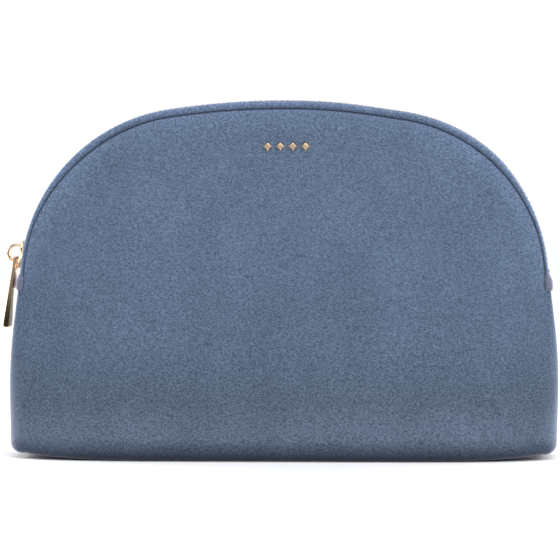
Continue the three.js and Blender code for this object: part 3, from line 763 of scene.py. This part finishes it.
def make_velvet(name, deep, middle, light, sheen):
    material, nodes, links, shader = new_material(
        name, Roughness=0.95, Sheen_Weight=sheen, Sheen_Roughness=0.3, Sheen_Tint=srgb(222, 220, 240),
        Specular_IOR_Level=0.12)
    clouds = noise_at(nodes, links, 26, 4.0, (1.3, 1, 0.8))
    grain = noise_at(nodes, links, 1500, 2.0, (0.75, 1, 1.15))
    flecks = noise_at(nodes, links, 760, 2.0, (0.7, 1, 1.2))
    base = ramp(nodes, links, clouds, (0.3, deep), (0.5, middle), (0.7, light))
    speckle = ramp(nodes, links, grain, (0.36, srgb(100, 108, 120)), (0.64, srgb(255, 252, 247)))
    mottle = ramp(nodes, links, flecks, (0.34, srgb(160, 163, 168)), (0.66, srgb(236, 236, 235)))
    colour = blend_colour(nodes, links, "MULTIPLY", 0.62, base, speckle)
    colour = blend_colour(nodes, links, "MULTIPLY", 0.22, colour, mottle)
    # Painted shade by height: darkest at the base, a paler painted band at about 10 to 14 mm, and a darker
    # painted band near 27 mm.
    painted_height_shade = painted_shade_by_height(nodes, links, (0.0, (0.2, 0.19, 0.2)), (0.0035, (0.52, 0.48, 0.48)),
                        (0.0105, (1.06, 0.98, 0.92)),
                        (0.014, (1.04, 0.97, 0.92)), (0.027, (0.82, 0.79, 0.74)), (0.055, (0.97, 0.96, 0.95)),
                        (0.09, (1.0, 1.0, 1.0)))
    colour = blend_colour(nodes, links, "MULTIPLY", 1.0, colour, painted_height_shade)
    # Painted highlight on the rolled edge, beside the groove and beside the seams, and painted shade in the
    # stitch groove and at the seams, multiplied into the colour.
    painted_light_attribute = nodes.new("ShaderNodeAttribute")
    painted_light_attribute.attribute_name = "pile_and_painted_light"
    reach = nodes.new("ShaderNodeMapRange")
    reach.inputs["From Min"].default_value = -1.0
    links.new(painted_light_attribute.outputs["Fac"], reach.inputs["Value"])
    painted_light_factor = ramp(nodes, links, reach.outputs["Result"], (0.0, (0.3, 0.3, 0.32, 1)),
                   (0.5, (0.5, 0.5, 0.5, 1)), (1.0, (1.0, 0.98, 1.0, 1)))
    doubled = nodes.new("ShaderNodeMix")
    doubled.data_type, doubled.blend_type = "RGBA", "MULTIPLY"
    doubled.inputs[0].default_value = 1.0
    links.new(colour, doubled.inputs[6])
    links.new(blend_colour(nodes, links, "ADD", 1.0, painted_light_factor, painted_light_factor), doubled.inputs[7])
    links.new(doubled.outputs[2], shader.inputs["Base Color"])
    # A fine noise bump for the pile itself.
    pile_and_painted_light = noise_at(nodes, links, 2600, 2.0)
    bump(nodes, links, shader, [(clouds, 0.2, 0.0006), (flecks, 0.15, 0.0002), (grain, 0.6, 0.00018),
                                (pile_and_painted_light, 0.5, 0.0001)])
    return material


velvet_look = make_velvet("dusty_blue_velvet", srgb(99, 116, 141), srgb(104, 122, 148),
                          srgb(109, 127, 154), 1.0)
# The end tabs are the same velvet in a paler mauve copy of its colour: painted sheen for the lilac where the
# cloth turns away at the edge.
tab_painted_sheen_look = make_velvet("velvet_painted_mauve_sheen", srgb(122, 125, 146), srgb(130, 133, 154), srgb(138, 141, 162), 0.9)
for obj in velvet_walls:
    obj.data.materials.clear()
    obj.data.materials.append(velvet_look)
for obj in tabs:
    obj.data.materials.clear()
    obj.data.materials.append(tab_painted_sheen_look)
print("velvet:", velvet_look.name, tab_painted_sheen_look.name)


# %% [markdown]
# ## Lining, foam, tape and thread
# The lining is a smooth woven cloth: two wave patterns crossed at the size of its threads. The tape
# is the same kind of weave, but coarser. The foam interlining is felted, so it only has a soft grain.

# %% Woven and felted finishes
def make_weave(name, deep, light, scale, roughness, sheen, depth):
    material, nodes, links, shader = new_material(name, Roughness=roughness, Sheen_Weight=sheen,
                                                  Sheen_Roughness=0.5)
    coords = nodes.new("ShaderNodeTexCoord")
    heights = []
    for axis in ("X", "Z"):
        wave = nodes.new("ShaderNodeTexWave")
        wave.wave_type, wave.bands_direction = "BANDS", axis
        wave.inputs["Scale"].default_value = scale
        wave.inputs["Distortion"].default_value = 0.6
        links.new(coords.outputs["Object"], wave.inputs["Vector"])
        heights.append(wave.outputs["Color"])
    cross = blend_colour(nodes, links, "MULTIPLY", 1.0, heights[0], heights[1])
    patches = ramp(nodes, links, noise_at(nodes, links, 60), (0.3, deep), (0.7, light))
    threads = ramp(nodes, links, cross, (0.0, srgb(170, 170, 170)), (1.0, srgb(235, 235, 235)))
    links.new(blend_colour(nodes, links, "MULTIPLY", 0.6, patches, threads), shader.inputs["Base Color"])
    bump(nodes, links, shader, [(cross, 0.5, depth)])
    return material


lining_look = make_weave("navy_satin_lining", srgb(58, 68, 98), srgb(68, 80, 112), 900, 0.5, 0.15, 0.00006)
tape_look = make_weave("zip_tape_weave", srgb(88, 92, 118), srgb(104, 108, 134), 420, 0.85, 0.3, 0.00012)
thread_look = make_weave("topstitch_thread", srgb(22, 30, 48), srgb(32, 42, 62), 1500, 0.7, 0.2, 0.00008)
foam_look, nodes, links, shader = new_material("felted_foam", Roughness=0.95)
felt = noise_at(nodes, links, 500, 4.0)
felted = ramp(nodes, links, felt, (0.3, srgb(208, 203, 190)), (0.7, srgb(232, 228, 216)))
links.new(felted, shader.inputs["Base Color"])
bump(nodes, links, shader, [(felt, 0.6, 0.0003)])
for objs, look in ((lining_walls, lining_look), (foam_walls, foam_look), (stitch_lines, thread_look),
                   ([o for o in zip_pieces if "teeth" not in o.name], tape_look),
                   ([NODES["badge_backing"]], foam_look)):
    for obj in objs:
        obj.data.materials.clear()
        obj.data.materials.append(look)
print("woven finishes:", lining_look.name, tape_look.name, thread_look.name, foam_look.name)

# %% [markdown]
# ## Gold and brass
# The slider, pull and studs have a bright light-gold plating: nearly a mirror, with a hint of fine scratches
# that only widen the highlights. The teeth are a browner, duller brass, because they are tumbled and not
# polished.


# %% Metals
def make_metal(name, deep, light, rough_low, rough_high, scale, depth):
    material, nodes, links, shader = new_material(name, Metallic=1.0)
    wear = noise_at(nodes, links, scale, 5.0)
    links.new(ramp(nodes, links, wear, (0.35, deep), (0.65, light)), shader.inputs["Base Color"])
    scratches = noise_at(nodes, links, scale * 3, 4.0, (1, 1, 0.2))
    rough = ramp(nodes, links, scratches, (0.3, (*[rough_low] * 3, 1)), (0.75, (*[rough_high] * 3, 1)))
    links.new(rough, shader.inputs["Roughness"])
    bump(nodes, links, shader, [(wear, 0.15, depth)])
    return material


gold_look = make_metal("light_gold_plating", srgb(224, 190, 152), srgb(243, 215, 182),
                       0.05, 0.13, 220, 0.00002)
teeth_look = make_metal("pale_brass_teeth", srgb(128, 104, 78), srgb(176, 146, 108), 0.3, 0.45, 900, 0.00005)
for obj in metal:
    obj.data.materials.clear()
    obj.data.materials.append(gold_look)
STOPS = [NODES[f"zip_stop_{place}"] for place in ("front", "back", "bottom")]
for obj in [o for o in zip_pieces if "teeth" in o.name] + STOPS:
    obj.data.materials.clear()
    obj.data.materials.append(teeth_look)
print("metals:", gold_look.name, teeth_look.name)

# %% [markdown]
# ## Floor, light and camera
# A plain pale floor and large soft lights show the velvet without hard shadows. The camera stands
# 1.6 metres away with a long lens, a little above the middle of the pouch and a little to its right.

# %% Set the scene
bpy.ops.object.select_all(action="DESELECT")
bpy.ops.mesh.primitive_plane_add(size=6, location=(0, 1.0, 0))
floor = bpy.context.active_object
floor.name = "floor"
floor_look, nodes, links, shader = new_material("pale_floor", Roughness=0.8)
shader.inputs["Base Color"].default_value = (0.94, 0.94, 0.94, 1)
floor.data.materials.append(floor_look)

world = bpy.data.worlds.new("studio")
bpy.context.scene.world = world
world.use_nodes = True
nodes, links = world.node_tree.nodes, world.node_tree.links
room = nodes["Background"]
room.inputs["Color"].default_value = (0.93, 0.96, 1.0, 1)
room.inputs["Strength"].default_value = 0.5
white = nodes.new("ShaderNodeBackground")
white.inputs["Color"].default_value = (1, 1, 1, 1)
white.inputs["Strength"].default_value = 1.02
seen = nodes.new("ShaderNodeLightPath")
choose = nodes.new("ShaderNodeMixShader")
links.new(seen.outputs["Is Camera Ray"], choose.inputs["Fac"])
links.new(room.outputs["Background"], choose.inputs[1])
links.new(white.outputs["Background"], choose.inputs[2])
links.new(choose.outputs["Shader"], nodes["World Output"].inputs["Surface"])


def light(name, kind, place, target, power, **settings):
    data = bpy.data.lights.new(name, kind)
    data.energy = power
    for key, value in settings.items():
        setattr(data, key, value)
    lamp = bpy.data.objects.new(name, data)
    bpy.context.collection.objects.link(lamp)
    lamp.location = place
    lamp.rotation_euler = (Vector(target) - Vector(place)).to_track_quat("-Z", "Y").to_euler()


light("sky_panel", "SUN", (0.4, -0.9, 1.7), (0, 0, 0), 2.25, angle=math.radians(70))
light("key_right", "AREA", (1.0, -0.9, 0.7), (0, 0, 0.08), 2.4, shape="SQUARE", size=0.6)
light("rim_left", "AREA", (-1.0, 0.6, 0.4), (0, 0, 0.1), 15, shape="SQUARE", size=0.6)
light("rim_right", "AREA", (1.0, 0.7, 0.4), (0, 0, 0.1), 12, shape="SQUARE", size=0.6)

# Two black cards that only the metal notices: a low one behind the camera and one to the left.
card_look, _, _, shader = new_material("black_card", Roughness=0.9)
shader.inputs["Base Color"].default_value = (0.012, 0.01, 0.009, 1)
UPRIGHT = math.pi / 2
for name, place, turn, size in (("black_card_low", (-0.6, -2.1, -0.16), (UPRIGHT, 0, 0), (2.0, 0.64, 1)),
                                ("black_card_left", (-1.6, 0.35, 0.3), (UPRIGHT, 0, UPRIGHT), (1.5, 0.6, 1))):
    bpy.ops.object.select_all(action="DESELECT")
    bpy.ops.mesh.primitive_plane_add(size=1, location=place, rotation=turn)
    card = bpy.context.active_object
    card.name, card.scale = name, size
    card.visible_camera = card.visible_shadow = card.visible_diffuse = False
    card.data.materials.append(card_look)

AZIMUTH, ELEVATION, DISTANCE = math.radians(2.5), math.radians(2.0), 1.6
AIM = Vector((-0.0019, 0.0, 0.0793))
camera_data = bpy.data.cameras.new("camera")
camera = bpy.data.objects.new("camera", camera_data)
bpy.context.collection.objects.link(camera)
level = math.cos(ELEVATION)
away = Vector((math.sin(AZIMUTH) * level, -math.cos(AZIMUTH) * level, math.sin(ELEVATION)))
camera.location = AIM + away * DISTANCE
camera.rotation_euler = (-away).to_track_quat("-Z", "Y").to_euler()
SENSOR_MM, VIEW_WIDTH = 36, 0.2522
camera_data.sensor_width = SENSOR_MM
camera_data.lens = SENSOR_MM * DISTANCE / VIEW_WIDTH
camera_data.clip_start = 0.01
bpy.context.scene.camera = camera
bpy.context.scene.view_settings.view_transform = "Standard"
print("camera:", [round(v, 3) for v in camera.location], "lens", round(camera_data.lens, 1))
